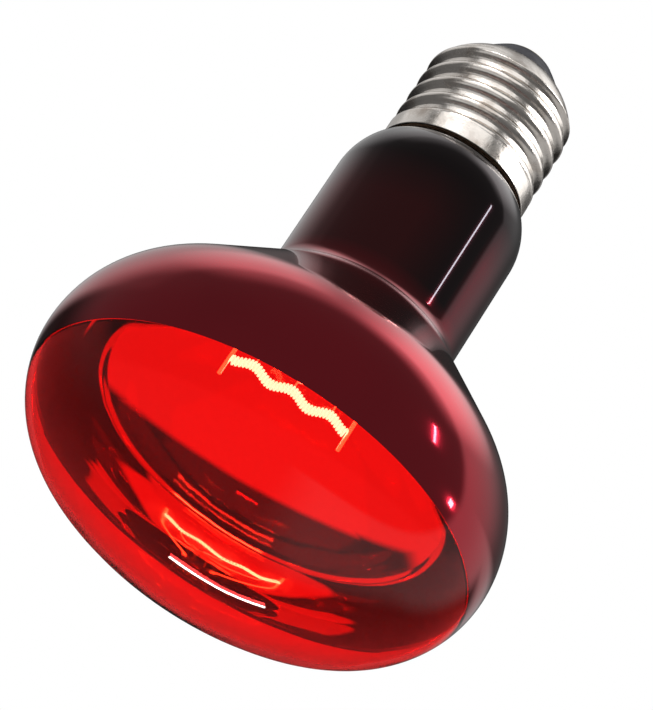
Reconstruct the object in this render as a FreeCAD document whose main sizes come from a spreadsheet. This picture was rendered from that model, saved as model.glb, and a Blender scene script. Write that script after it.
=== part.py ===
"""Infrared heat lamp: red reflector bulb with an E27 screw cap.

Millimetres. The lamp hangs as in use, cap up: the Z axis is its axis of turning, Z points from the
face to the cap, and the origin is on the outer face of the centre contact. The filament lies along X.
"""
import FreeCAD, Part
import math
import os
import re

import Sketcher
from FreeCAD import Vector

# Driving sizes: name, value, what it measures. Diameters end in _dia.
SIZES = [
    ("cap_height", "27.2", "rim of the skirt to the contact face"),
    ("thread_major_dia", "26.3", "E27 crest diameter"),
    ("thread_minor_dia", "24.26", "E27 root diameter"),
    ("thread_pitch", "3.629", "E27 pitch, seven turns to the inch"),
    ("thread_round", "1.025", "radius of crest and hollow"),
    ("thread_land", "0.08", "root above the bottom of the hollow round"),
    ("thread_side", "0.15", "ridge narrower than the pitch, each side"),
    ("thread_root", "0.6", "ridge inside the wall"),
    ("thread_sink", "0.65", "first crest below the top of the skirt"),
    ("thread_over", "0.6", "ridge carried past the lip before the shoulder is cut"),
    ("skirt_dia", "26.36", "plain skirt, just over the crests"),
    ("skirt_length", "3.3", "rim to the step"),
    ("skirt_step", "0.9", "height of the cone from skirt to root"),
    ("sheet_wall", "0.35", "metal of the shell"),
    ("shell_depth", "4.98", "contact face to the lip of the shell"),
    ("shell_shoulder", "5.0", "height of the round shoulder under the lip"),
    ("shell_round", "16.0", "radius of that shoulder"),
    ("shell_margin", "0.25", "foot of the shoulder outside the crests"),
    ("shell_hollow", "3.4", "height of the shoulder inside the shell"),
    ("lip_dia", "18.3", "opening of the lip"),
    ("insulator_depth", "10.3", "contact face to the inner end of the insulator"),
    ("insulator_top_dia", "10.8", "seat of the contact"),
    ("insulator_round", "40.0", "radius of the insulator's dome"),
    ("contact_dia", "9.6", "centre contact"),
    ("contact_thick", "0.6", "plate of the contact"),
    ("contact_edge", "0.25", "height of the rounded edge of the plate"),
    ("eyelet_dia", "2.4", "bore of the eyelet"),
    ("eyelet_wall", "0.4", "metal of the eyelet"),
    ("eyelet_length", "2.2", "contact face to the end of the eyelet"),
    ("solder_sink", "0.1", "solder below the contact face"),
    ("fit_gap", "0.05", "clearance between fitted pieces"),
    ("bulb_dia", "80.0", "widest diameter of the glass"),
    ("glass_wall", "1.0", "wall of the glass"),
    ("face_radius", "63.9", "sphere of the face"),
    ("corner_radius", "17.45", "round between face and widest point"),
    ("bowl_radius", "20.2", "round behind the widest point"),
    ("bowl_angle", "48.3", "cone of the bowl, from the axis"),
    ("waist_radius", "4.0", "hollow round between bowl and neck"),
    ("neck_dia", "32.8", "neck"),
    ("neck_length", "21.2", "straight part of the neck"),
    ("shoulder_radius", "12.25", "round from the neck in to the rim"),
    ("seat_gap", "0.45", "glass to the inside of the rim"),
    ("seal_dia", "21.6", "end of the neck, inside the cap"),
    ("seal_fillet", "2.0", "hollow round below that end"),
    ("seal_height", "5.2", "rim to the sealed end"),
    ("mirror_front", "5.5", "widest point to the front edge of the mirror"),
    ("mirror_back", "19.0", "waist to the back edge of the mirror"),
    ("mirror_thick", "0.15", "mirror layer"),
    ("cement_low", "0.5", "rim to the lower face of the cement"),
    ("cement_high", "3.2", "rim to the upper face of the cement"),
    ("slot_width", "0.7", "slot in the cement for the side lead"),
    ("cut_spill", "1.0", "cut carried past an open end"),
    ("stem_dia", "10.0", "stem tube"),
    ("stem_wall", "1.0", "wall of the stem"),
    ("flare_bend", "4.0", "round from the stem tube to its flare"),
    ("stem_length", "30.0", "sealed end to the floor of the stem tube"),
    ("press_width", "12.4", "press, across the leads"),
    ("press_thick", "4.6", "press, the thin way"),
    ("press_round", "1.6", "round of its upright edges"),
    ("press_wing", "4.0", "press above the floor of the tube"),
    ("press_height", "7.0", "press below the floor of the tube"),
    ("exhaust_dia", "3.8", "exhaust tube"),
    ("exhaust_bore", "2.2", "bore of the exhaust tube"),
    ("exhaust_port", "3.0", "floor of the tube to the port in the press"),
    ("tip_height", "4.0", "sealed end to the tip of the exhaust tube"),
    ("tip_length", "2.4", "height of the closed tip"),
    ("rod_dia", "3.0", "stem rod"),
    ("button_foot_dia", "2.4", "flat end of the button"),
    ("button_bulge", "1.05", "button out from the rod"),
    ("button_height", "3.4", "height of the button"),
    ("button_rise", "5.2", "filament to the middle of the button"),
    ("filament_back", "13.0", "widest point back to the filament"),
    ("filament_dia", "1.8", "coil"),
    ("filament_sag", "1.2", "height of the coil's waves between supports"),
    ("filament_shift", "-2.5", "axis to the middle of the filament"),
    ("lead_spacing", "6.0", "leads in the press"),
    ("lead_spread", "22.0", "leads at the filament"),
    ("lead_straight", "2.5", "inner lead before its first bend"),
    ("lead_drop", "5.0", "second bend of an inner lead above the filament"),
    ("lead_tip", "4.0", "end of an inner lead below the filament"),
    ("inner_lead_dia", "0.7", "inner lead"),
    ("seal_wire_dia", "0.5", "wire in the press"),
    ("outer_lead_dia", "0.5", "lead to the contact"),
    ("side_lead_dia", "0.3", "lead to the rim"),
    ("side_lead_rise", "1.4", "side lead above the flare"),
    ("centre_lead_rise", "4.0", "tip of the exhaust tube to the last bend of the centre lead"),
    ("support_dia", "0.3", "support wire"),
    ("support_root", "0.9", "middle of the button to the end of a support"),
    ("support_run", "3.4", "axis to the bend of an outer support"),
    ("support_end", "1.0", "straight end of an outer support"),
    ("solder_size", "0.9", "solder bead at the rim, half its width"),
    ("solder_hang", "0.67", "bead below the rim at its outside"),
    ("solder_toe", "0.27", "bead below the rim at its inside"),
    ("solder_swell", "0.135", "low end of the bead out from the skirt"),
]

# Heights and radii that follow from the sizes above.
LEVELS = [
    ("rim", "-cap_height"),
    ("seal_end", "rim + seal_height"),
    ("skirt_bore", "skirt_dia / 2 - sheet_wall"),
    ("neck_r", "neck_dia / 2"),
    ("bulb_r", "bulb_dia / 2"),
    ("seal_r", "seal_dia / 2"),
    ("seat_r", "skirt_bore - seat_gap"),
    ("shoulder", "rim - sqrt(shoulder_radius^2 - (seat_r - neck_r + shoulder_radius)^2)"),
    ("seal_bend", "shoulder + sqrt((shoulder_radius + seal_fillet)^2"
                  " - (seal_r + seal_fillet - neck_r + shoulder_radius)^2)"),
    ("waist", "shoulder - neck_length"),
    ("widest", "waist - (waist_radius + bowl_radius - (neck_r + waist_radius - bulb_r + bowl_radius)"
               " * cos(bowl_angle)) / sin(bowl_angle)"),
    ("face_centre", "widest + sqrt((face_radius - corner_radius)^2 - (bulb_r - corner_radius)^2)"),
    ("root_r", "thread_minor_dia / 2"),
    ("bore_r", "root_r - sheet_wall"),
    ("crest_r", "thread_major_dia / 2"),
    ("ridge_start", "rim + skirt_length - thread_sink"),
    ("step_top", "rim + skirt_length + skirt_step"),
    ("stem_floor", "seal_end - stem_length"),
    ("press_end", "stem_floor - press_height"),
    ("coil", "widest + filament_back"),
    ("coil_r", "filament_dia / 2"),
    ("coil_end", "lead_spread / 2 - inner_lead_dia / 2 - fit_gap"),
    ("wave", "coil_end / 3"),
    ("wave_r", "wave^2 / (4 * filament_sag) + filament_sag / 4"),
    ("coil_top", "coil + filament_sag / 2 + coil_r + fit_gap"),
    ("button", "coil + button_rise"),
    ("lead_x", "lead_spacing / 2"),
    ("side_lead_r", "(bore_r + seal_r) / 2"),
    ("sleeve_r", "eyelet_dia / 2 + eyelet_wall"),
]

doc = FreeCAD.newDocument("heat_lamp")
sizes = doc.addObject("Spreadsheet::Sheet", "Sizes")
for row, (alias, number, note) in enumerate(SIZES, start=1):
    sizes.set(f"A{row}", note)
    sizes.set(f"B{row}", number)
    sizes.setAlias(f"B{row}", alias)
doc.recompute()

HOLDER = {alias: "Sizes." for alias, _, _ in SIZES}
HOLDER.update({name: "Levels." for name, _ in LEVELS})


def bound(text):
    """Name the holder of every size and level in an expression."""
    return re.sub(r"[a-z][a-z_]*", lambda word: HOLDER.get(word[0], "") + word[0], text)


levels = doc.addObject("App::VarSet", "Levels")
for name, text in LEVELS:
    levels.addProperty("App::PropertyFloat", name)
    levels.setExpression(name, bound(text))
    doc.recompute()


def value(text):
    """Number that an expression has now."""
    return float(sizes.evalExpression(bound(text)))


def new_body(label):
    body = doc.addObject("PartDesign::Body", label)
    body.Label = label
    return body


def new_sketch(body, name, plane, offset="0"):
    """Empty sketch on one of the body's own planes, moved along its normal."""
    sketch = body.newObject("Sketcher::SketchObject", f"{body.Label}_{name}")
    origin = [item for item in body.Origin.OriginFeatures if item.Role == plane]
    sketch.AttachmentSupport = [(origin[0], "")]
    sketch.MapMode = "FlatFace"
    sketch.AttachmentOffset = FreeCAD.Placement(Vector(0, 0, value(offset)), FreeCAD.Rotation())
    sketch.setExpression("AttachmentOffset.Base.z", bound(offset))
    return sketch


def arc_between(start, end, radius, turn):
    """Shorter arc from start to end that turns left or right on the way."""
    chord = end - start
    across = Vector(-chord.y, chord.x, 0) / chord.Length
    side = 1 if turn == "left" else -1
    reach = math.sqrt(max(radius**2 - chord.Length**2 / 4, 0))
    centre = (start + end) / 2 + across * side * reach
    first, last = (start, end) if turn == "left" else (end, start)
    angles = [math.atan2(spot.y - centre.y, spot.x - centre.x) for spot in (first, last)]
    return Part.ArcOfCircle(Part.Circle(centre, Vector(0, 0, 1), radius), *angles)


def draw(sketch, points, closed=True):
    """Chain of lines and arcs through points, every one bound to the sizes.

    A point is (across, up), or (across, up, radius, turn) where an arc leaves it.
    """
    spots = [Vector(value(point[0]), value(point[1]), 0) for point in points]
    count = len(points) if closed else len(points) - 1
    ends = []
    radii = []
    for index in range(count):
        point, start, end = points[index], spots[index], spots[(index + 1) % len(spots)]
        if len(point) == 2:
            sketch.addGeometry(Part.LineSegment(start, end))
            ends.append((1, 2))
        else:
            sketch.addGeometry(arc_between(start, end, value(point[2]), point[3]))
            ends.append((1, 2) if point[3] == "left" else (2, 1))
            radii.append((index, point[2]))
    rules = []
    texts = []
    for index in range(count if closed else count - 1):
        after = (index + 1) % count
        rules.append(Sketcher.Constraint("Coincident", index, ends[index][1], after, ends[after][0]))
        texts.append(None)
    places = [(index, ends[index][0], points[index]) for index in range(count)]
    if not closed:
        places.append((count - 1, ends[-1][1], points[-1]))
    for index, end, point in places:
        for kind, text in (("DistanceX", point[0]), ("DistanceY", point[1])):
            rules.append(Sketcher.Constraint(kind, -1, 1, index, end, value(text)))
            texts.append(text)
    for index, text in radii:
        rules.append(Sketcher.Constraint("Radius", index, value(text)))
        texts.append(text)
    sketch.addConstraint(rules)
    for index, text in enumerate(texts):
        if text:
            sketch.setExpression(f"Constraints[{index}]", bound(text))
    return sketch


def circle(sketch, across, up, diameter):
    """Circle bound to the sizes."""
    number = sketch.addGeometry(
        Part.Circle(Vector(value(across), value(up), 0), Vector(0, 0, 1), value(diameter) / 2))
    rules = [("DistanceX", -1, 1, number, 3, value(across)),
             ("DistanceY", -1, 1, number, 3, value(up)),
             ("Diameter", number, value(diameter))]
    first = sketch.ConstraintCount
    sketch.addConstraint([Sketcher.Constraint(*rule) for rule in rules])
    for index, text in enumerate((across, up, diameter)):
        sketch.setExpression(f"Constraints[{first + index}]", bound(text))
    return sketch


def turned(body, kind, points):
    """Revolution or Groove of a half section about the lamp's axis."""
    sketch = draw(new_sketch(body, f"{kind.lower()}_{len(body.Group)}", "XZ_Plane"), points)
    feature = body.newObject(f"PartDesign::{kind}", f"{body.Label}_{kind}_{len(body.Group)}")
    feature.Profile = sketch
    feature.ReferenceAxis = (sketch, ["V_Axis"])
    feature.Angle = 360
    feature.Refine = False
    doc.recompute()
    return feature


def straight(body, kind, sketch, length, reverse=False):
    """Pad or Pocket of a sketch."""
    feature = body.newObject(f"PartDesign::{kind}", f"{body.Label}_{kind}_{len(body.Group)}")
    feature.Profile = sketch
    feature.setExpression("Length", bound(length))
    feature.Reversed = reverse
    doc.recompute()
    return feature


def bent_wire(label, diameter, start_plane, path_plane, points, offset="0"):
    """Round wire along a path of straight runs; the first run leaves start_plane."""
    body = new_body(label)
    path = draw(new_sketch(body, "path", path_plane, offset), points, closed=False)
    across, up = points[0][:2]
    if start_plane == "XY_Plane":
        spot = (across, "0") if path_plane == "XZ_Plane" else (offset, across)
        section = circle(new_sketch(body, "section", "XY_Plane", up), *spot, diameter)
    else:
        section = circle(new_sketch(body, "section", "YZ_Plane", across), "0", up, diameter)
    doc.recompute()
    pipe = body.newObject("PartDesign::AdditivePipe", f"{label}_pipe")
    pipe.Profile = section
    pipe.Spine = (path, [f"Edge{index + 1}" for index in range(len(points) - 1)])
    pipe.Transition = "Right corner"
    doc.recompute()
    return body


def cap_shell():
    """Sheet shell: plain skirt, rolled round thread, shoulder and lip."""
    body = new_body("cap_shell")
    turned(body, "Revolution", [
        ("0", "rim"),
        ("skirt_dia / 2", "rim"),
        ("skirt_dia / 2", "rim + skirt_length"),
        ("root_r", "step_top"),
        ("root_r", "-shell_depth"),
        ("0", "-shell_depth"),
    ])
    flank = "((crest_r + root_r - thread_land) / 2)"
    foot = "(root_r - thread_land + thread_round - sqrt(thread_round^2 - thread_side^2))"
    ridge = draw(new_sketch(body, "ridge", "XZ_Plane"), [
        ("thread_root - root_r", "ridge_start - thread_pitch / 2 + thread_side"),
        ("thread_root - root_r", "ridge_start + thread_pitch / 2 - thread_side"),
        (f"-{foot}", "ridge_start + thread_pitch / 2 - thread_side", "thread_round", "right"),
        (f"-{flank}", "ridge_start + thread_pitch / 4", "thread_round", "left"),
        (f"-{flank}", "ridge_start - thread_pitch / 4", "thread_round", "right"),
        (f"-{foot}", "ridge_start - thread_pitch / 2 + thread_side"),
    ])
    thread = body.newObject("PartDesign::AdditiveHelix", "cap_shell_thread")
    thread.Profile = ridge
    thread.ReferenceAxis = (ridge, ["V_Axis"])
    thread.Mode = "pitch-turns-angle"
    thread.Refine = False
    thread.setExpression("Pitch", bound("thread_pitch"))
    thread.setExpression("Turns", bound("(thread_over - shell_depth - ridge_start) / thread_pitch"))
    doc.recompute()
    # The shoulder starts outside the crests, so the ridge runs out on it.
    turned(body, "Groove", [
        ("lip_dia / 2 + sheet_wall", "-shell_depth", "shell_round", "right"),
        ("crest_r + shell_margin", "-shell_depth - shell_shoulder"),
        ("crest_r + thread_pitch", "-shell_depth - shell_shoulder"),
        ("crest_r + thread_pitch", "thread_pitch - shell_depth"),
        ("lip_dia / 2 + sheet_wall", "thread_pitch - shell_depth"),
    ])
    turned(body, "Groove", [
        ("0", "rim - sheet_wall"),
        ("skirt_bore", "rim - sheet_wall"),
        ("skirt_bore", "rim + skirt_length - sheet_wall / 4"),
        ("bore_r", "step_top - sheet_wall / 4"),
        ("bore_r", "-shell_depth - shell_hollow"),
        ("lip_dia / 2", "-shell_depth - sheet_wall"),
        ("lip_dia / 2", "sheet_wall - shell_depth"),
        ("0", "sheet_wall - shell_depth"),
    ])


def cap_end():
    """Insulator, contact with its eyelet, and the solder in the eyelet."""
    body = new_body("cap_insulator")
    turned(body, "Revolution", [
        ("sleeve_r + fit_gap", "-contact_thick"),
        ("insulator_top_dia / 2", "-contact_thick", "insulator_round", "right"),
        ("lip_dia / 2 - fit_gap", "-shell_depth"),
        ("lip_dia / 2 - fit_gap", "-shell_depth - sheet_wall - fit_gap"),
        ("bore_r - fit_gap", "-shell_depth - shell_hollow - fit_gap"),
        ("bore_r - fit_gap", "-insulator_depth"),
        ("sleeve_r + fit_gap", "-insulator_depth"),
    ])
    body = new_body("centre_contact")
    turned(body, "Revolution", [
        ("eyelet_dia / 2", "0"),
        ("contact_dia / 2 - contact_edge", "0", "contact_edge", "right"),
        ("contact_dia / 2", "-contact_edge"),
        ("contact_dia / 2", "-contact_thick"),
        ("sleeve_r", "-contact_thick"),
        ("sleeve_r", "-eyelet_length"),
        ("eyelet_dia / 2", "-eyelet_length"),
    ])
    body = new_body("contact_solder")
    turned(body, "Revolution", [
        ("0", "-solder_sink"),
        ("eyelet_dia / 2 - fit_gap", "-solder_sink - fit_gap"),
        ("eyelet_dia / 2 - fit_gap", "-eyelet_length"),
        ("0", "-eyelet_length"),
    ])


def envelope(inset, top):
    """Half section of the blown envelope, moved in from the outside by inset."""
    share = f"((seal_fillet + {inset}) / (seal_fillet + shoulder_radius))"
    lean = "/ (face_radius - corner_radius)"
    return [
        ("0", top),
        (f"seal_r - {inset}", top),
        (f"seal_r - {inset}", "seal_bend", f"seal_fillet + {inset}", "left"),
        (f"seal_r + seal_fillet + (neck_r - shoulder_radius - seal_r - seal_fillet) * {share}",
         f"seal_bend + (shoulder - seal_bend) * {share}", f"shoulder_radius - {inset}", "right"),
        (f"neck_r - {inset}", "shoulder"),
        *bowl(inset),
        (f"bulb_r - {inset}", "widest", f"corner_radius - {inset}", "right"),
        (f"(bulb_r - corner_radius) * (1 + (corner_radius - {inset}) {lean})",
         f"widest + (widest - face_centre) * (corner_radius - {inset}) {lean}",
         f"face_radius - {inset}", "right"),
        ("0", f"face_centre - face_radius + {inset}"),
    ]


def bowl(inset):
    """Waist, cone and round of the envelope's bowl, down to the widest point."""
    return [
        (f"neck_r - {inset}", "waist", f"waist_radius + {inset}", "left"),
        (f"neck_r + waist_radius - (waist_radius + {inset}) * cos(bowl_angle)",
         f"waist - (waist_radius + {inset}) * sin(bowl_angle)"),
        (f"bulb_r - bowl_radius + (bowl_radius - {inset}) * cos(bowl_angle)",
         f"widest + (bowl_radius - {inset}) * sin(bowl_angle)", f"bowl_radius - {inset}", "right"),
    ]


def mirror(inset, spill):
    """Half section inside the mirror layer; spill carries it past both edges."""
    edge = f"(mirror_front + {spill})"
    return [
        ("0", f"waist + mirror_back + {spill}"),
        (f"neck_r - {inset}", f"waist + mirror_back + {spill}"),
        *bowl(inset),
        (f"bulb_r - {inset}", "widest", f"corner_radius - {inset}", "right"),
        (f"bulb_r - corner_radius + sqrt((corner_radius - {inset})^2 - {edge}^2)", f"widest - {edge}"),
        ("0", f"widest - {edge}"),
    ]


def bulb():
    """Envelope, mirror layer and the cement that holds the cap."""
    body = new_body("bulb_glass")
    turned(body, "Revolution", envelope("0", "seal_end"))
    turned(body, "Groove", envelope("glass_wall", "seal_end + cut_spill"))
    body = new_body("mirror_film")
    turned(body, "Revolution", mirror("(glass_wall + fit_gap)", "0"))
    turned(body, "Groove", mirror("(glass_wall + fit_gap + mirror_thick)", "cut_spill"))
    body = new_body("cement_ring")
    turned(body, "Revolution", [
        ("0", "rim + cement_low"),
        ("skirt_bore - fit_gap", "rim + cement_low"),
        ("skirt_bore - fit_gap", "rim + cement_high"),
        ("0", "rim + cement_high"),
    ])
    turned(body, "Groove", envelope("(-fit_gap)", "seal_end"))
    slot = draw(new_sketch(body, "slot", "XY_Plane", "rim"), [
        ("lead_x - slot_width / 2", "seal_r / 2"),
        ("lead_x + slot_width / 2", "seal_r / 2"),
        ("lead_x + slot_width / 2", "skirt_dia / 2"),
        ("lead_x - slot_width / 2", "skirt_dia / 2"),
    ])
    straight(body, "Pocket", slot, "2 * cement_high", reverse=True)


def stem():
    """Flare, tube and press with holes for the wires and the exhaust port."""
    body = new_body("stem")
    bore = "(stem_dia / 2 - stem_wall)"
    turned(body, "Revolution", [
        ("seal_r", "seal_end + stem_wall"),
        ("seal_r", "seal_end"),
        ("stem_dia / 2 + flare_bend", "seal_end", "flare_bend", "left"),
        ("stem_dia / 2", "seal_end - flare_bend"),
        ("stem_dia / 2", "stem_floor - stem_wall"),
        ("0", "stem_floor - stem_wall"),
        ("0", "stem_floor"),
        (bore, "stem_floor"),
        (bore, "seal_end - flare_bend", "flare_bend + stem_wall", "right"),
        ("stem_dia / 2 + flare_bend", "seal_end + stem_wall"),
    ])
    wide, thin = "press_width / 2", "press_thick / 2"
    press = draw(new_sketch(body, "press", "XY_Plane", "press_end"), [
        (f"press_round - {wide}", f"-{thin}"),
        (f"{wide} - press_round", f"-{thin}", "press_round", "left"),
        (wide, f"press_round - {thin}"),
        (wide, f"{thin} - press_round", "press_round", "left"),
        (f"{wide} - press_round", thin),
        (f"press_round - {wide}", thin, "press_round", "left"),
        (f"-{wide}", f"{thin} - press_round"),
        (f"-{wide}", f"press_round - {thin}", "press_round", "left"),
    ])
    straight(body, "Pad", press, "press_height + press_wing")
    clear = circle(new_sketch(body, "bore", "XY_Plane", "stem_floor"), "0", "0", f"2 * {bore}")
    straight(body, "Pocket", clear, "press_wing + cut_spill", reverse=True)
    holes = new_sketch(body, "holes", "XY_Plane", "press_end")
    for sign in ("-", ""):
        circle(holes, f"{sign}lead_x", "0", "seal_wire_dia + 2 * fit_gap")
    straight(body, "Pocket", holes, "press_height + cut_spill", reverse=True)
    well = circle(new_sketch(body, "well", "XY_Plane", "stem_floor"), "0", "0", "exhaust_bore")
    straight(body, "Pocket", well, "exhaust_port + exhaust_bore / 2")
    port = circle(new_sketch(body, "port", "XZ_Plane"), "0", "stem_floor - exhaust_port", "exhaust_bore")
    straight(body, "Pocket", port, "press_thick")

    body = new_body("exhaust_tube")
    turned(body, "Revolution", [
        ("exhaust_bore / 2", "stem_floor"),
        ("exhaust_dia / 2", "stem_floor"),
        ("exhaust_dia / 2", "seal_end + tip_height - tip_length"),
        ("exhaust_dia / 4", "seal_end + tip_height - exhaust_dia / 4", "exhaust_dia / 4", "left"),
        ("0", "seal_end + tip_height"),
        ("0", "seal_end + tip_height - tip_length"),
        ("exhaust_bore / 2", "seal_end + tip_height - tip_length - exhaust_bore / 2"),
    ])

    body = new_body("stem_rod")
    span = "(button_height^2 + (rod_dia / 2 - button_foot_dia / 2)^2)"
    turned(body, "Revolution", [
        ("0", "press_end"),
        ("0", "button - button_height / 2"),
        ("button_foot_dia / 2", "button - button_height / 2",
         f"{span} / (8 * button_bulge) + button_bulge / 2", "left"),
        ("rod_dia / 2", "button + button_height / 2"),
        ("rod_dia / 2", "press_end"),
    ])
    hole_dia, hole_floor = "support_dia + 2 * fit_gap", "support_root - fit_gap"
    for side, sign in (("left", "-"), ("right", "")):
        hole = new_sketch(body, f"hole_{side}", "YZ_Plane", f"{sign}({hole_floor})")
        circle(hole, "0", "button", hole_dia)
        straight(body, "Pocket", hole, "rod_dia / 2 + 2 * button_bulge", reverse=side == "right")
    hole = new_sketch(body, "hole_middle", "XY_Plane", f"button - ({hole_floor})")
    circle(hole, "0", "0", hole_dia)
    straight(body, "Pocket", hole, "button_height")


def wires():
    """Leads, supports and the coil between them."""
    for side, sign in (("left", "-"), ("right", "")):
        bent_wire(f"inner_lead_{side}", "inner_lead_dia", "XY_Plane", "XZ_Plane", [
            (f"{sign}lead_x", "press_end"),
            (f"{sign}lead_x", "press_end - lead_straight"),
            (f"filament_shift + {sign}lead_spread / 2", "coil + lead_drop"),
            (f"filament_shift + {sign}lead_spread / 2", "coil - lead_tip"),
        ])
        bent_wire(f"seal_wire_{side}", "seal_wire_dia", "XY_Plane", "XZ_Plane", [
            (f"{sign}lead_x", "stem_floor"),
            (f"{sign}lead_x", "press_end"),
        ])
        bent_wire(f"support_{side}", "support_dia", "YZ_Plane", "XZ_Plane", [
            (f"{sign}support_root", "button"),
            (f"{sign}support_run", "button"),
            (f"filament_shift + {sign}2 * wave", "coil_top + support_end"),
            (f"filament_shift + {sign}2 * wave", "coil_top"),
        ])
    bent_wire("support_middle", "support_dia", "XY_Plane", "XZ_Plane", [
        ("0", "button - support_root"),
        ("0", "button - button_height / 2 - support_dia"),
        ("filament_shift", "coil_top + support_end"),
        ("filament_shift", "coil_top"),
    ])
    bent_wire("outer_lead_centre", "outer_lead_dia", "XY_Plane", "XZ_Plane", [
        ("-lead_x", "stem_floor"),
        ("-lead_x", "seal_end + tip_height"),
        ("0", "seal_end + tip_height + centre_lead_rise"),
        ("0", "-eyelet_length - fit_gap"),
    ])
    level = "(seal_end + stem_wall + side_lead_rise)"
    bent_wire("outer_lead_side", "side_lead_dia", "XY_Plane", "YZ_Plane", [
        ("0", "stem_floor"),
        ("0", level),
        ("sqrt(side_lead_r^2 - lead_x^2)", level),
        ("sqrt(side_lead_r^2 - lead_x^2)", "rim + cement_high"),
        ("sqrt((skirt_bore - seat_gap / 2)^2 - lead_x^2)", "rim"),
    ], offset="lead_x")
    bends = [(step - 2.5, turn) for step, turn in enumerate(["right", "left"] * 3)]
    bent_wire("filament", "filament_dia", "YZ_Plane", "XZ_Plane", [
        ("filament_shift - coil_end", "coil - filament_sag / 2", "wave_r", "left"),
        *[(f"filament_shift + wave * ({step})", "coil", "wave_r", turn) for step, turn in bends],
        ("filament_shift + coil_end", "coil - filament_sag / 2"),
    ])


def side_solder():
    """Bead of solder round the edge of the rim where the side lead comes out."""
    body = new_body("side_solder")
    outside = "(skirt_dia / 2 + fit_gap)"
    bead = turned(body, "Revolution", [
        (outside, "rim + solder_size", "solder_size", "right"),
        (f"{outside} + solder_swell", "rim - solder_hang"),
        ("skirt_bore - fit_gap", "rim - solder_toe"),
        ("skirt_bore - fit_gap", "rim - fit_gap"),
        (outside, "rim - fit_gap"),
    ])
    bead.Midplane = True
    bead.setExpression("Angle", bound("2 * asin(solder_size / skirt_dia * 2)"))
    body.Placement = FreeCAD.Placement(Vector(), Vector(0, 0, 1), 60)
    body.setExpression("Placement.Rotation.Angle", bound("acos(lead_x / (skirt_bore - seat_gap / 2))"))


cap_shell()
cap_end()
bulb()
stem()
wires()
side_solder()
doc.recompute()
pieces = [item for item in doc.Objects if item.TypeId == "PartDesign::Body"]

for item in doc.Objects:
    if "Invalid" in item.State or "Error" in item.State:
        raise RuntimeError(f"{item.Name}: {item.State}")
for piece in pieces:
    if piece.Shape.isNull() or not piece.Shape.isValid() or len(piece.Shape.Solids) != 1:
        raise RuntimeError(f"{piece.Label}: not one valid solid")

os.makedirs("parts", exist_ok=True)
for piece in pieces:
    piece.Shape.exportStep(f"parts/{piece.Label}.step")
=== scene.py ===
"""Looks of the infrared heat lamp: red reflector bulb, lit, seen from below on a white ground.

Lengths are written in millimetres and turned into metres where a mesh is made.
"""
import math

import bmesh
import bpy
from mathutils import Matrix, Vector


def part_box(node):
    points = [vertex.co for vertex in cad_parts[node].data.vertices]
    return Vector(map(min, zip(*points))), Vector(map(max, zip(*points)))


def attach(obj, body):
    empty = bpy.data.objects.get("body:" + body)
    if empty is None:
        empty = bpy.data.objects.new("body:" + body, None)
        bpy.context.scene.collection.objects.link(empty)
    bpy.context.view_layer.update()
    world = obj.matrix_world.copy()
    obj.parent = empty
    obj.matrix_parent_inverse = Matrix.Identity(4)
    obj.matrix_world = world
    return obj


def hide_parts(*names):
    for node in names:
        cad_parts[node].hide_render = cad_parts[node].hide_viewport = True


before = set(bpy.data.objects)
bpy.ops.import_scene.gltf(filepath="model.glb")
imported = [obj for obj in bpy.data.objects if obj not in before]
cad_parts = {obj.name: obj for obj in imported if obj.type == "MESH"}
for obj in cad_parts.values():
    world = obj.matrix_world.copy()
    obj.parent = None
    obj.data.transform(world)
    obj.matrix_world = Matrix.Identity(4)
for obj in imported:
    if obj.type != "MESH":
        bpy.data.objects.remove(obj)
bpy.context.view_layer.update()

MM = 0.001
TURN = 2 * math.pi


def span(node):
    """Corners of a CAD node in millimetres."""
    low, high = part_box(node)
    return low / MM, high / MM


glass_low, glass_high = span("bulb_glass")
shell_low, shell_high = span("cap_shell")
film_low, film_high = span("mirror_film")
coil_low, coil_high = span("filament")
lead_low, lead_high = span("inner_lead_right")

# Envelope.
BULB_R = glass_high.x
SEAL_END = glass_high.z
APEX = glass_low.z
RIM = shell_low.z
GLASS_WALL = 1.0
FACE_RADIUS = 63.9
CORNER_RADIUS = 17.45
BOWL_RADIUS = 20.2
BOWL_ANGLE = math.radians(48.3)
WAIST_RADIUS = 4.0
NECK_R = 16.4
NECK_LENGTH = 21.2
SHOULDER_RADIUS = 12.25
SEAT_R = 12.38
SEAL_R = 10.8
SEAL_FILLET = 2.0
FILM_GAP = 0.05
FILM_WALL = 0.15
FACE_CENTRE = APEX + FACE_RADIUS
WIDEST = FACE_CENTRE - math.sqrt((FACE_RADIUS - CORNER_RADIUS) ** 2 - (BULB_R - CORNER_RADIUS) ** 2)
SHOULDER = RIM - math.sqrt(SHOULDER_RADIUS ** 2 - (SEAT_R - NECK_R + SHOULDER_RADIUS) ** 2)
WAIST = SHOULDER - NECK_LENGTH
SEAL_BEND = SHOULDER + math.sqrt((SHOULDER_RADIUS + SEAL_FILLET) ** 2
                                 - (SEAL_R + SEAL_FILLET - NECK_R + SHOULDER_RADIUS) ** 2)
MIRROR_EDGE = film_low.z
MIRROR_BACK = film_high.z
COAT_DROP = 0.6
COAT_EDGE = MIRROR_EDGE - COAT_DROP
CORNER_CENTRE = (BULB_R - CORNER_RADIUS, WIDEST)

# Screw shell: E27 round thread.
PITCH = 3.629
CREST_R = 13.15
ROOT_R = 12.13
THREAD_ROUND = 1.025
THREAD_LAND = 0.08
THREAD_SINK = 0.65
SKIRT_R = shell_high.x
SKIRT_LENGTH = 3.3
SKIRT_STEP = 0.9
SHELL_TOP = shell_high.z
SHELL_SHOULDER = 5.0
SHELL_ROUND = 16.0
SHELL_MARGIN = 0.25
LIP_R = 9.15
SHEET = 0.35
SKIRT_INSIDE = 2.0
EDGE_HEIGHT = 0.1
EDGE_WIDTH = 0.06
RIM_LIFT = 0.08
THREAD_ROWS = 190

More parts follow.
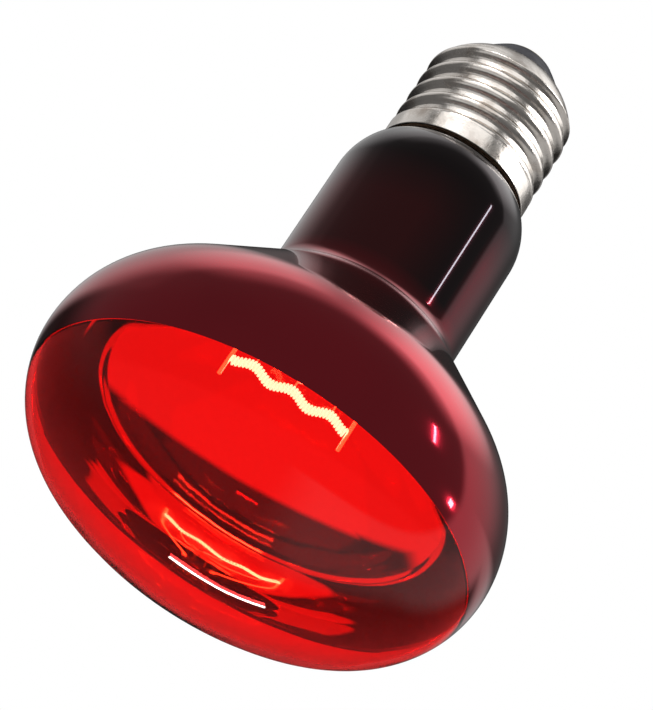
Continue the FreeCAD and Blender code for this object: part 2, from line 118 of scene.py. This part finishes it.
# Filament and its wires.
COIL_R = coil_high.y
COIL_WIRE_R = 0.2
COIL_PITCH = 0.55
COIL_MIDDLE = (coil_low.x + coil_high.x) / 2
COIL_END = (coil_high.x - coil_low.x) / 2
COIL_SAG = coil_high.z - coil_low.z - 2 * COIL_R
COIL = (coil_low.z + coil_high.z) / 2
LEAD_R = 0.35
LEAD_X = 3.0
LEAD_SPREAD = lead_high.x - LEAD_R - COIL_MIDDLE
LEAD_TOP = lead_high.z
LEAD_STRAIGHT = 2.5
LEAD_DROP = 5.0
LEAD_BEND = 1.2

# Camera: fitted to the outline, the rim and the mirror's edge in a picture of 653 by 710 pixels.
SIGHT_TILT = math.radians(60.34)
SIGHT_ROLL = math.radians(56.77)
SIGHT_DEPTH = 612.6
SIGHT_RIGHT = -9.743
SIGHT_DOWN = 16.81
FOCAL_PIXELS = 3961
PICTURE_HEIGHT = 710
SENSOR = 36.0

# The lights aim at a point on the axis above the widest part.
AIM_RISE = 30

# Studio, in metres.
LIGHT_DISTANCE = 0.7
FLOOR_HALF = 12.0
FLOOR_LEVEL = -0.8

# Levels of the world: behind the lamp as the camera sees it, for soft light, and where it is dark.
WHITE = 1.0
SOFT = 0.9
DARK = 0.02

# Points round a turned mesh.
STEPS = 256


def arc(centre, radius, start, end, step=math.radians(2.5)):
    """Points of an arc in the (radius, height) plane, its last point left out."""
    count = max(3, math.ceil(abs(end - start) / step))
    angles = [start + (end - start) * index / count for index in range(count)]
    return [(centre[0] + radius * math.cos(angle), centre[1] + radius * math.sin(angle)) for angle in angles]


def neck_part(inset):
    """Half section of the envelope from its sealed end to the neck, moved in by inset."""
    centre = (NECK_R - SHOULDER_RADIUS, SHOULDER)
    bend = (SEAL_R + SEAL_FILLET, SEAL_BEND)
    lean = math.atan2(bend[1] - centre[1], bend[0] - centre[0])
    return [
        (SEAL_R - inset, SEAL_END),
        *arc(bend, SEAL_FILLET + inset, math.pi, math.pi + lean),
        *arc(centre, SHOULDER_RADIUS - inset, lean, 0),
    ]


def bowl_part(inset):
    """Half section from the neck to the widest point."""
    return [
        (NECK_R - inset, SHOULDER),
        *arc((NECK_R + WAIST_RADIUS, WAIST), WAIST_RADIUS + inset, math.pi, math.pi + BOWL_ANGLE),
        (NECK_R + WAIST_RADIUS - (WAIST_RADIUS + inset) * math.cos(BOWL_ANGLE),
         WAIST - (WAIST_RADIUS + inset) * math.sin(BOWL_ANGLE)),
        *arc((BULB_R - BOWL_RADIUS, WIDEST), BOWL_RADIUS - inset, BOWL_ANGLE, 0),
    ]


def edge_angle(inset, edge):
    """Angle on the corner's arc at the height of the mirror's edge."""
    return math.asin((edge - WIDEST) / (CORNER_RADIUS - inset))


def rim_part(inset, edge):
    """Half section from the widest point to the mirror's edge."""
    radius = CORNER_RADIUS - inset
    split = edge_angle(inset, edge)
    return [
        *arc(CORNER_CENTRE, radius, 0, split),
        (CORNER_CENTRE[0] + radius * math.cos(split), edge),
    ]


def face_part(inset, edge):
    """Half section from the widest point to the apex, with a point at the height of the mirror's edge."""
    lean = math.atan2(WIDEST - FACE_CENTRE, CORNER_CENTRE[0])
    return [
        *rim_part(inset, edge),
        *arc(CORNER_CENTRE, CORNER_RADIUS - inset, edge_angle(inset, edge), lean)[1:],
        *arc((0, FACE_CENTRE), FACE_RADIUS - inset, lean, -math.pi / 2),
        (0, FACE_CENTRE - FACE_RADIUS + inset),
    ]


def add_piece(name, mesh, slot, *nodes):
    """Object on the lamp's body that stands for CAD nodes."""
    piece = bpy.data.objects.new(name, mesh)
    bpy.context.scene.collection.objects.link(piece)
    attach(piece, "root")
    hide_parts(*nodes)
    return piece


def finished_mesh(name, points, faces, sharp=40):
    """Smooth mesh with outward normals; edges over the sharp angle stay hard."""
    mesh = bpy.data.meshes.new(name)
    mesh.from_pydata([Vector(point) * MM for point in points], [], faces)
    work = bmesh.new()
    work.from_mesh(mesh)
    bmesh.ops.recalc_face_normals(work, faces=work.faces)
    work.to_mesh(mesh)
    work.free()
    mesh.polygons.foreach_set("use_smooth", [True] * len(mesh.polygons))
    mesh.set_sharp_from_angle(angle=math.radians(sharp))
    return mesh


def band(low, high):
    """Faces between two rings of points; a ring of one point is a pole."""
    count = max(len(low), len(high))
    if count == 1:
        return []
    faces = []
    for step in range(count):
        after = (step + 1) % count
        ring = [low[step % len(low)], low[after % len(low)],
                high[after % len(high)], high[step % len(high)]]
        faces.append(list(dict.fromkeys(ring)))
    return faces


def lathe(name, outline):
    """Turned mesh of a closed outline of (radius, height) points; a point on the axis becomes a pole."""
    points, rings = [], []
    for radius, height in outline:
        count = STEPS if radius > 0 else 1
        rings.append([len(points) + step for step in range(count)])
        points += [(radius * math.cos(TURN * step / count), radius * math.sin(TURN * step / count), height)
                   for step in range(count)]
    faces = []
    for low, high in zip(rings, rings[1:] + rings[:1]):
        faces += band(low, high)
    return finished_mesh(name, points, faces)


def tube(name, centres, radius, sides=12):
    """Round wire along a chain of points, with flat ends."""
    centres = [Vector(centre) for centre in centres]
    points, rings = [], []
    across = None
    for index, centre in enumerate(centres):
        ahead = (centres[min(index + 1, len(centres) - 1)] - centres[max(index - 1, 0)]).normalized()
        guess = across if across is not None else ahead.orthogonal()
        across = (guess - ahead * guess.dot(ahead)).normalized()
        up = ahead.cross(across)
        rings.append([len(points) + side for side in range(sides)])
        for side in range(sides):
            angle = TURN * side / sides
            points.append(centre + (across * math.cos(angle) + up * math.sin(angle)) * radius)
    faces = [rings[0][::-1], rings[-1]]
    for low, high in zip(rings, rings[1:]):
        faces += band(low, high)
    return finished_mesh(name, points, faces)


def rounded(corners, radius, count=8):
    """Chain of points along corners, each bend made round."""
    corners = [Vector(corner) for corner in corners]
    chain = [corners[0]]
    for before, corner, after in zip(corners, corners[1:], corners[2:]):
        back, forth = (before - corner).normalized(), (after - corner).normalized()
        start, end = corner + back * radius, corner + forth * radius
        for step in range(count + 1):
            share = step / count
            chain.append(start * (1 - share) ** 2 + corner * 2 * share * (1 - share) + end * share ** 2)
    chain.append(corners[-1])
    return chain


def thread_radius(turn, height):
    """Outer radius of the skirt and thread at a share of a turn and a height."""
    if height <= RIM + SKIRT_LENGTH:
        return SKIRT_R
    drop = min((height - RIM - SKIRT_LENGTH) / SKIRT_STEP, 1)
    blank = SKIRT_R + (ROOT_R - SKIRT_R) * drop
    first = RIM + SKIRT_LENGTH - THREAD_SINK + PITCH / 2
    along = (height - first) / PITCH - turn
    away = abs(along - round(along)) * PITCH
    middle = (CREST_R + ROOT_R - THREAD_LAND) / 2
    if away <= PITCH / 4:
        ridge = CREST_R - THREAD_ROUND + math.sqrt(THREAD_ROUND ** 2 - away ** 2)
    else:
        hollow = ROOT_R - THREAD_LAND + THREAD_ROUND
        ridge = min(hollow - math.sqrt(THREAD_ROUND ** 2 - (PITCH / 2 - away) ** 2), middle)
    return max(blank, ridge)


def shoulder_radius(height):
    """Outer radius of the round shoulder that ends the shell."""
    foot = Vector((CREST_R + SHELL_MARGIN, SHELL_TOP - SHELL_SHOULDER))
    lip = Vector((LIP_R + SHEET, SHELL_TOP))
    chord = lip - foot
    reach = math.sqrt(SHELL_ROUND ** 2 - chord.length_squared / 4)
    centre = (foot + lip) / 2 + Vector((-chord.y, chord.x)) / chord.length * reach
    return centre.x + math.sqrt(max(SHELL_ROUND ** 2 - (height - centre.y) ** 2, 0))


def shell_radius(turn, height):
    """Outer radius of the shell, where the shoulder cuts the thread."""
    radius = thread_radius(turn, height)
    if height > SHELL_TOP - SHELL_SHOULDER:
        return min(radius, shoulder_radius(height))
    return radius


def shell_mesh():
    """Rolled sheet shell: skirt, thread, shoulder and lip, with the inside of the skirt."""
    bore = SKIRT_R - SHEET
    start = RIM + RIM_LIFT
    # Rows of radius and height; a row with no radius is on the threaded outside.
    rows = [(bore, RIM + SKIRT_INSIDE), (bore, RIM + EDGE_HEIGHT)]
    rows += [(bore + EDGE_WIDTH, RIM), (SKIRT_R - EDGE_WIDTH, RIM)]
    rows += [(None, start + (SHELL_TOP - start) * row / THREAD_ROWS) for row in range(THREAD_ROWS + 1)]
    rows += [(LIP_R, SHELL_TOP), (LIP_R, SHELL_TOP - SHEET)]
    points, rings = [], []
    for radius, height in rows:
        rings.append([len(points) + step for step in range(STEPS)])
        for step in range(STEPS):
            turn = step / STEPS
            out = shell_radius(turn, height) if radius is None else radius
            points.append((out * math.cos(TURN * turn), out * math.sin(TURN * turn), height))
    faces = []
    for low, high in zip(rings, rings[1:]):
        faces += band(low, high)
    return finished_mesh("screw_shell", points, faces, sharp=60)


def filament_centre(x):
    """Middle of the coil at a place along X: round waves between leads and supports."""
    waves = 3
    return Vector((COIL_MIDDLE + x, 0, COIL - COIL_SAG / 2 * math.cos(math.pi * waves * (x / COIL_END + 1))))


def filament_mesh():
    """Wound tungsten coil from lead to lead."""
    turns = 2 * COIL_END / COIL_PITCH
    per_turn = 20
    count = int(turns * per_turn)
    reach = COIL_R - COIL_WIRE_R
    chain = []
    for index in range(count + 1):
        x = -COIL_END + 2 * COIL_END * index / count
        angle = TURN * index / per_turn
        chain.append(filament_centre(x) + Vector((0, math.cos(angle) * reach, math.sin(angle) * reach)))
    return tube("filament_coil", chain, COIL_WIRE_R, sides=8)


class Surface:
    """Principled material with helpers for procedural detail."""

    def __init__(self, name, **inputs):
        self.material = bpy.data.materials.new(name)
        self.material.use_nodes = True
        self.nodes = self.material.node_tree.nodes
        self.links = self.material.node_tree.links
        self.shader = self.nodes["Principled BSDF"]
        self.place = self.nodes.new("ShaderNodeTexCoord").outputs["Object"]
        for key, number in inputs.items():
            self.shader.inputs[key.replace("_", " ")].default_value = number

    def noise(self, scale, detail=4.0, stretch=(1, 1, 1)):
        """Noise in metres of the object's frame."""
        mapping = self.nodes.new("ShaderNodeMapping")
        mapping.inputs["Scale"].default_value = stretch
        self.links.new(self.place, mapping.inputs["Vector"])
        node = self.nodes.new("ShaderNodeTexNoise")
        node.inputs["Scale"].default_value = scale
        node.inputs["Detail"].default_value = detail
        self.links.new(mapping.outputs["Vector"], node.inputs["Vector"])
        return node.outputs["Fac"]

    def along(self, axis, low, high):
        """0 at one place along an axis of the lamp, 1 at another, in millimetres."""
        split = self.nodes.new("ShaderNodeSeparateXYZ")
        self.links.new(self.place, split.inputs[0])
        return self.ranged(split.outputs[axis], low * MM, high * MM, 0, 1)

    def ranged(self, source, low, high, to_low, to_high):
        """Source carried from one range to another."""
        node = self.nodes.new("ShaderNodeMapRange")
        for key, number in (("From Min", low), ("From Max", high), ("To Min", to_low), ("To Max", to_high)):
            node.inputs[key].default_value = number
        self.links.new(source, node.inputs["Value"])
        return node.outputs["Result"]

    def mixed(self, factor, first, second):
        """Colour between two colours or sockets."""
        node = self.nodes.new("ShaderNodeMix")
        node.data_type = "RGBA"
        self.links.new(factor, node.inputs["Factor"])
        for key, colour in ((6, first), (7, second)):
            if isinstance(colour, tuple):
                node.inputs[key].default_value = (*colour, 1)
            else:
                self.links.new(colour, node.inputs[key])
        return node.outputs[2]

    def link(self, source, key):
        """Source put on an input of the shader."""
        self.links.new(source, self.shader.inputs[key])

    def bump(self, source, depth):
        """Relief of a depth in millimetres."""
        node = self.nodes.new("ShaderNodeBump")
        node.inputs["Distance"].default_value = depth * MM
        self.links.new(source, node.inputs["Height"])
        self.links.new(node.outputs["Normal"], self.shader.inputs["Normal"])


def red_glass():
    """Clear ruby glass of the face."""
    surface = Surface("red_glass", Base_Color=(0.99, 0.04, 0.04, 1), Roughness=0.0, IOR=1.45,
                      Transmission_Weight=1.0)
    surface.bump(surface.noise(60, detail=1.0), 0.06)
    return surface.material


def ruby_mirror():
    """Ruby glass backed by the mirror, with painted shade on the neck and where the mirror ends in the
    shoulder.
    """
    surface = Surface("ruby_mirror", Metallic=1.0, Roughness=0.12, Coat_Weight=1.0, Coat_Roughness=0.02,
                      Coat_IOR=1.5)
    bowl = surface.mixed(surface.noise(45, detail=2.0), (0.55, 0.010, 0.03), (0.75, 0.018, 0.045))
    # Painted shade and reflection: the neck is darker than the bowl and darkens from left to right, up to a
    # painted red strip at its right side.
    across = surface.mixed(surface.along("X", -1, 7), (0.14, 0.008, 0.012), (0.02, 0.004, 0.006))
    sides = surface.mixed(surface.along("X", 10, 12), across, (0.2, 0.006, 0.02))
    neck = surface.mixed(surface.along("Z", WAIST - 8, WAIST + 2), bowl, sides)
    # Painted shade: darker towards the shoulder, where the mirror ends.
    shade = surface.mixed(surface.along("Z", MIRROR_BACK - 6, MIRROR_BACK + 3), neck, (0.02, 0.006, 0.008))
    surface.link(shade, "Base Color")
    surface.bump(surface.noise(60, detail=1.0), 0.06)
    return surface.material


def mirror_layer():
    """Evaporated aluminium on the inside of the bowl."""
    surface = Surface("mirror_layer", Metallic=1.0)
    surface.link(surface.mixed(surface.noise(120), (0.97, 0.9, 0.7), (0.94, 0.86, 0.66)), "Base Color")
    surface.link(surface.ranged(surface.noise(300), 0.3, 0.7, 0.02, 0.06), "Roughness")
    surface.bump(surface.noise(70, detail=2.0), 0.05)
    return surface.material


def nickel_shell():
    """Nickel plate with turning marks, scuffs and a few stains."""
    surface = Surface("nickel_shell", Metallic=1.0)
    rings = surface.noise(900, detail=3.0, stretch=(0.04, 0.04, 1))
    stains = surface.ranged(surface.noise(260, detail=6.0), 0.52, 0.72, 0, 1)
    clean = surface.mixed(rings, (0.78, 0.72, 0.66), (0.9, 0.85, 0.8))
    surface.link(surface.mixed(stains, clean, (0.56, 0.49, 0.43)), "Base Color")
    surface.link(surface.ranged(surface.noise(700, detail=5.0), 0.3, 0.75, 0.18, 0.3), "Roughness")
    surface.bump(surface.noise(1500, detail=5.0), 0.02)
    return surface.material


def black_glass():
    """Blue-black glass of the insulator."""
    surface = Surface("black_glass", IOR=1.45, Specular_IOR_Level=0.25)
    surface.link(surface.mixed(surface.noise(400), (0.02, 0.02, 0.03), (0.05, 0.048, 0.065)), "Base Color")
    surface.link(surface.ranged(surface.noise(900), 0.3, 0.7, 0.3, 0.45), "Roughness")
    surface.bump(surface.noise(500, detail=3.0), 0.03)
    return surface.material


def cement():
    """Baked brown cement."""
    surface = Surface("cement", Roughness=0.85)
    grain = surface.noise(900, detail=8.0)
    surface.link(surface.mixed(grain, (0.16, 0.09, 0.05), (0.42, 0.25, 0.15)), "Base Color")
    surface.bump(surface.noise(1600, detail=8.0), 0.12)
    return surface.material


def wire(name, dark, light, rough, glow=0.0):
    """Drawn wire or stamped metal; glow stands for the light of the filament on it."""
    surface = Surface(name, Metallic=1.0, Emission_Color=(1.0, 0.55, 0.16, 1), Emission_Strength=glow)
    surface.link(surface.mixed(surface.noise(1400, detail=4.0), dark, light), "Base Color")
    surface.link(surface.ranged(surface.noise(900), 0.3, 0.7, rough, rough + 0.15), "Roughness")
    surface.bump(surface.noise(2200, detail=3.0), 0.015)
    return surface.material


def clear_glass():
    """Clear lead glass of the stem."""
    surface = Surface("clear_glass", Base_Color=(0.96, 0.98, 0.96, 1), Roughness=0.02, IOR=1.5,
                      Transmission_Weight=1.0)
    surface.bump(surface.noise(300, detail=2.0), 0.03)
    return surface.material


def tungsten():
    """White-hot tungsten of the coil."""
    surface = Surface("tungsten", Base_Color=(0.3, 0.28, 0.26, 1), Roughness=0.5, Emission_Strength=500.0)
    surface.link(surface.mixed(surface.noise(500), (1.0, 0.86, 0.42), (1.0, 0.95, 0.62)), "Emission Color")
    return surface.material


GLASS = red_glass()
RUBY = ruby_mirror()
CLEAR = clear_glass()
COPPER = wire("lead_copper", (0.5, 0.25, 0.15), (0.72, 0.42, 0.28), 0.25)
SOLDER = wire("solder", (0.45, 0.45, 0.45), (0.66, 0.66, 0.66), 0.35)
# The leads and supports carry painted glow: emission that stands for the filament's light on them.
NICKEL_WIRE = wire("lead_nickel", (0.55, 0.53, 0.5), (0.75, 0.72, 0.68), 0.2, glow=6.0)
SUPPORT_WIRE = wire("support_wire", (0.4, 0.4, 0.42), (0.6, 0.6, 0.62), 0.25, glow=6.0)

outside = neck_part(0) + bowl_part(0) + face_part(0, COAT_EDGE)
inside = neck_part(GLASS_WALL) + bowl_part(GLASS_WALL) + face_part(GLASS_WALL, MIRROR_EDGE)
bulb = add_piece("bulb", lathe("bulb", outside + inside[::-1]), "red_glass", "bulb_glass")
bulb.data.materials.append(GLASS)
bulb.data.materials.append(RUBY)
# On the outside the mirrored look reaches a little past the edge of the film.
for face in bulb.data.polygons:
    edge = COAT_EDGE if face.normal.dot(face.center) > 0 and face.center.z < WIDEST * MM else MIRROR_EDGE
    face.material_index = 1 if face.center.z > edge * MM else 0

film_out = FILM_GAP + GLASS_WALL
film_in = film_out + FILM_WALL
layer = [[(NECK_R - inset, MIRROR_BACK), *bowl_part(inset)[1:], *rim_part(inset, MIRROR_EDGE)]
         for inset in (film_out, film_in)]
film = add_piece("mirror", lathe("mirror", layer[0] + layer[1][::-1]), "mirror_layer", "mirror_film")
film.data.materials.append(mirror_layer())

shell = add_piece("screw_shell", shell_mesh(), "nickel_shell", "cap_shell")
shell.data.materials.append(nickel_shell())

coil = add_piece("filament_coil", filament_mesh(), "tungsten", "filament")
coil.data.materials.append(tungsten())
coil.visible_diffuse = False

for side, sign in (("left", -1), ("right", 1)):
    corners = [
        (sign * LEAD_X, 0, LEAD_TOP),
        (sign * LEAD_X, 0, LEAD_TOP - LEAD_STRAIGHT),
        (COIL_MIDDLE + sign * LEAD_SPREAD, 0, COIL + LEAD_DROP),
        (COIL_MIDDLE + sign * LEAD_SPREAD, 0, lead_low.z),
    ]
    lead = add_piece(f"lead_{side}", tube(f"lead_{side}", rounded(corners, LEAD_BEND), LEAD_R), "lead_nickel",
                     f"inner_lead_{side}")
    lead.data.materials.append(NICKEL_WIRE)

FINISHES = {
    "cap_insulator": black_glass(),
    "centre_contact": wire("contact_brass", (0.5, 0.38, 0.18), (0.78, 0.62, 0.34), 0.2),
    "contact_solder": SOLDER,
    "side_solder": SOLDER,
    "cement_ring": cement(),
    "stem": CLEAR,
    "exhaust_tube": CLEAR,
    "stem_rod": CLEAR,
    "seal_wire_left": COPPER,
    "seal_wire_right": COPPER,
    "outer_lead_centre": COPPER,
    "outer_lead_side": COPPER,
    "support_left": SUPPORT_WIRE,
    "support_middle": SUPPORT_WIRE,
    "support_right": SUPPORT_WIRE,
}
for node, finish in FINISHES.items():
    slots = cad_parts[node].data.materials
    for index in range(len(slots)):
        slots[index] = finish


def area_lamp(name, toward, width, length, radiance, colour=(1, 1, 1)):
    """Soft box at a direction from the lamp, of a given brightness."""
    data = bpy.data.lights.new(name, "AREA")
    data.shape = "RECTANGLE"
    data.size = width
    data.size_y = length
    data.color = colour
    data.energy = radiance * math.pi * width * length
    lamp = bpy.data.objects.new(name, data)
    toward = Vector(toward).normalized()
    aim = Vector((0, 0, WIDEST + AIM_RISE)) * MM
    lamp.location = aim + toward * LIGHT_DISTANCE
    lamp.rotation_euler = toward.to_track_quat("Z", "Y").to_euler()
    bpy.context.scene.collection.objects.link(lamp)
    return lamp


area_lamp("key", (0.725, -0.455, 0.515), 0.018, 0.13, 15, (0.85, 0.9, 1))
area_lamp("low_right", (0.97, -0.2, 0.1), 0.04, 0.05, 14)
area_lamp("window_strip", (0.07, 0.83, -0.54), 0.2, 0.012, 40)

# These light the screw shell alone.
cap_only = bpy.data.collections.new("cap_only")
cap_only.objects.link(shell)
for name, toward, width, length, radiance in (
        ("cap_front", (-0.35, -0.8, 0.5), 0.9, 0.7, 1.0),
        ("cap_low", (-0.45, -0.75, -0.4), 0.8, 0.5, 0.45),
        ("cap_side", (-0.8, 0.18, 0.56), 0.5, 0.5, 0.4),
        ("cap_far", (0.82, 0.1, 0.56), 0.4, 0.5, 0.9),
        ("cap_left", (-0.42, -0.5, 0.75), 0.16, 0.16, 10),
        ("cap_right", (0.76, -0.36, 0.54), 0.36, 0.45, 6.5)):
    area_lamp(name, toward, width, length, radiance).light_linking.receiver_collection = cap_only

world = bpy.data.worlds.new("studio")
bpy.context.scene.world = world
world.use_nodes = True
tree = world.node_tree
ray = tree.nodes.new("ShaderNodeLightPath")
way = tree.nodes.new("ShaderNodeTexCoord")
split = tree.nodes.new("ShaderNodeSeparateXYZ")
tree.links.new(way.outputs["Generated"], split.inputs[0])


def eased(source, low, high, to_low, to_high):
    """Smooth step from one level to another between two values of the source."""
    node = tree.nodes.new("ShaderNodeMapRange")
    node.interpolation_type = "SMOOTHSTEP"
    for key, number in (("From Min", low), ("From Max", high), ("To Min", to_low), ("To Max", to_high)):
        node.inputs[key].default_value = number
    tree.links.new(source, node.inputs["Value"])
    return node.outputs["Result"]


def either(flag, first, second):
    """The second level where the flag is set, else the first."""
    node = tree.nodes.new("ShaderNodeMix")
    tree.links.new(ray.outputs[flag], node.inputs["Factor"])
    tree.links.new(first, node.inputs["A"])
    if isinstance(second, float):
        node.inputs["B"].default_value = second
    else:
        tree.links.new(second, node.inputs["B"])
    return node.outputs["Result"]


def combined(operation, *levels):
    """Sum, product or greatest of levels, by the name of a math operation."""
    total = levels[0]
    for level in levels[1:]:
        node = tree.nodes.new("ShaderNodeMath")
        node.operation = operation
        tree.links.new(total, node.inputs[0])
        if isinstance(level, float):
            node.inputs[1].default_value = level
        else:
            tree.links.new(level, node.inputs[1])
        total = node.outputs[0]
    return total


# Parts of a ray's direction: x to the right, y away from the camera, z up.
x, y, z = split.outputs
# Seen through the glass: bright behind the lamp and below it, dark elsewhere.
slope = combined("ADD", y, combined("MULTIPLY", z, -1.3), combined("MULTIPLY", x, 0.25))
table = combined("MAXIMUM", eased(slope, 0.5, 0.68, DARK, WHITE), eased(y, 0.1, 0.3, DARK, WHITE))
# Mirrored: a dim room, a panel on each side and a ceiling that is brighter on the right.
dim = eased(y, 0.3, 0.7, 0.12, DARK)
right_panel = combined("MULTIPLY", eased(x, 0.05, 0.3, 0.0, 1.0), eased(y, -0.12, -0.02, 0.0, 1.0),
                       eased(y, 0.85, 0.95, 1.0, 0.0),
                       combined("MAXIMUM", eased(z, 0.2, 0.35, 0.0, 1.0), eased(y, 0.5, 0.7, 1.0, 0.0)),
                       combined("MAXIMUM", eased(y, 0.0, 0.75, 0.33, 0.05), eased(z, 0.4, 0.5, 0.33, 0.0)))
height = combined("ADD", y, combined("MULTIPLY", z, 1.5))
left_panel = combined("MULTIPLY", eased(x, -0.25, -0.05, 1.0, 0.0), eased(height, 0.95, 1.5, 0.03, 0.4),
                      eased(y, -0.05, 0.1, 0.0, 1.0), eased(z, 0.35, 0.5, 0.0, 1.0))
ceiling = combined("MULTIPLY", eased(z, 0.7, 0.9, 0.0, 1.0), eased(y, -0.3, 0.0, 0.0, 1.0),
                   eased(y, 0.45, 0.6, 1.0, 0.0), eased(x, -0.1, 0.2, 0.3, 0.8))
panels = combined("ADD", right_panel, left_panel, ceiling, dim)
mirrored = either("Is Diffuse Ray", panels, SOFT)
level = either("Is Camera Ray", either("Is Transmission Ray", mirrored, table), WHITE)
tree.links.new(level, tree.nodes["Background"].inputs["Color"])

floor_mesh = bpy.data.meshes.new("floor")
corners = [(x_sign * FLOOR_HALF, y_sign * FLOOR_HALF, FLOOR_LEVEL)
           for x_sign, y_sign in ((-1, -1), (1, -1), (1, 1), (-1, 1))]
floor_mesh.from_pydata(corners, [], [[0, 1, 2, 3]])
floor = bpy.data.objects.new("floor", floor_mesh)
bpy.context.scene.collection.objects.link(floor)
paper = Surface("paper", Roughness=0.9)
paper.link(paper.mixed(paper.noise(6), (0.8, 0.8, 0.8), (0.84, 0.84, 0.84)), "Base Color")
floor_mesh.materials.append(paper.material)
floor.visible_glossy = False
floor.visible_transmission = False

look = Vector((0, math.sin(SIGHT_TILT), math.cos(SIGHT_TILT)))
lift = Vector((0, -math.cos(SIGHT_TILT), math.sin(SIGHT_TILT)))
side = Vector((1, 0, 0))
right = side * math.sin(SIGHT_ROLL) + lift * math.cos(SIGHT_ROLL)
up = lift * math.sin(SIGHT_ROLL) - side * math.cos(SIGHT_ROLL)
eye = Vector((0, 0, WIDEST)) - right * SIGHT_RIGHT + up * SIGHT_DOWN - look * SIGHT_DEPTH
camera_data = bpy.data.cameras.new("camera")
camera_data.sensor_width = SENSOR
camera_data.lens = FOCAL_PIXELS / PICTURE_HEIGHT * SENSOR
camera_data.clip_start = 0.01
camera = bpy.data.objects.new("camera", camera_data)
camera.matrix_world = Matrix.Translation(eye * MM) @ Matrix((right, up, -look)).transposed().to_4x4()
bpy.context.scene.collection.objects.link(camera)
bpy.context.scene.camera = camera
bpy.context.scene.view_settings.view_transform = "Standard"
